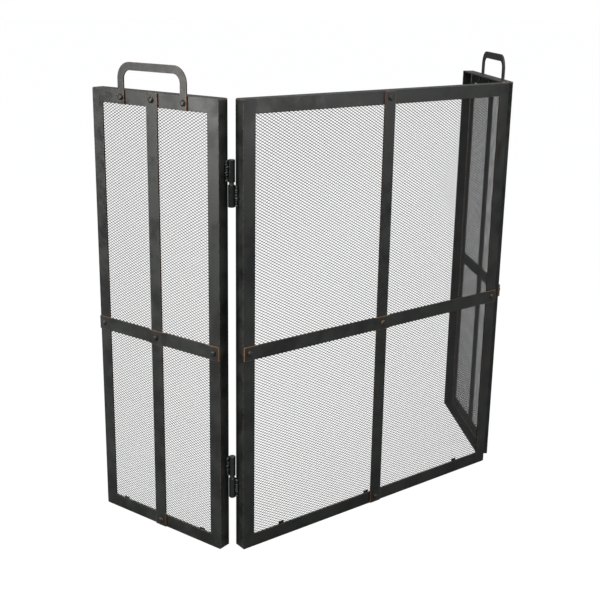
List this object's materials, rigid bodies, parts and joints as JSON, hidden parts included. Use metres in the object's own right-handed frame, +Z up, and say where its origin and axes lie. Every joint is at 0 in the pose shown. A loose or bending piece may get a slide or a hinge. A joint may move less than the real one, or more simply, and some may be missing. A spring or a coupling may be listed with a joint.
{
  "type": "fireplace screen",
  "caption": "Free-standing folding fireplace screen with a wide centre panel, hinged side wings, expanded-metal infill, riveted crossing straps and lift handles.",
  "frame": {"origin": "middle of the centre panel's underside", "axes": "+Z up, +X to the right seen from the front, +Y to the back, towards the fire"},
  "size_m": [0.9373, 0.3234, 0.861],
  "materials": {
    "frame": "satin, rubbed",
    "strap": "satin, rubbed",
    "mesh": "matt",
    "handle": "satin, rubbed",
    "rivet": "satin, rubbed",
    "clip": "matt",
    "hinge": "gloss black",
    "weld": "painted over",
    "pin": "bare, oiled",
    "washer": "dull"
  },
  "bodies": {
    "centre_panel": {"centre_top_rail": "frame", "centre_bottom_rail": "frame", "centre_left_stile": "frame", "centre_right_stile": "frame", "centre_mesh": "mesh", "centre_vertical_strap": "strap", "centre_horizontal_strap": "strap", "centre_rivets": "rivet", "centre_mesh_clips": "clip", "centre_left_knuckles": "hinge", "centre_left_welds": "weld", "left_hinge_pins": "pin", "left_hinge_washers": "washer", "centre_right_knuckles": "hinge", "centre_right_welds": "weld", "right_hinge_pins": "pin", "right_hinge_washers": "washer"},
    "left_wing": {"left_top_rail": "frame", "left_bottom_rail": "frame", "left_outer_stile": "frame", "left_hinge_stile": "frame", "left_mesh": "mesh", "left_vertical_strap": "strap", "left_horizontal_strap": "strap", "left_rivets": "rivet", "left_mesh_clips": "clip", "left_handle": "handle", "left_handle_rivets": "rivet", "left_wing_knuckles": "hinge", "left_wing_welds": "weld"},
    "right_wing": {"right_top_rail": "frame", "right_bottom_rail": "frame", "right_hinge_stile": "frame", "right_outer_stile": "frame", "right_mesh": "mesh", "right_vertical_strap": "strap", "right_horizontal_strap": "strap", "right_rivets": "rivet", "right_mesh_clips": "clip", "right_handle": "handle", "right_handle_rivets": "rivet", "right_wing_knuckles": "hinge", "right_wing_welds": "weld"}
  },
  "joints": [
    {"name": "left_wing_fold", "type": "hinge", "parent": "centre_panel", "child": "left_wing", "pos_m": [-0.32525, 0.0115, 0], "axis": [0, 0, -1], "range_deg": [-104, 102]},
    {"name": "right_wing_fold", "type": "hinge", "parent": "centre_panel", "child": "right_wing", "pos_m": [0.32525, 0.0115, 0], "axis": [0, 0, 1], "range_deg": [-89, 117]}
  ]
}
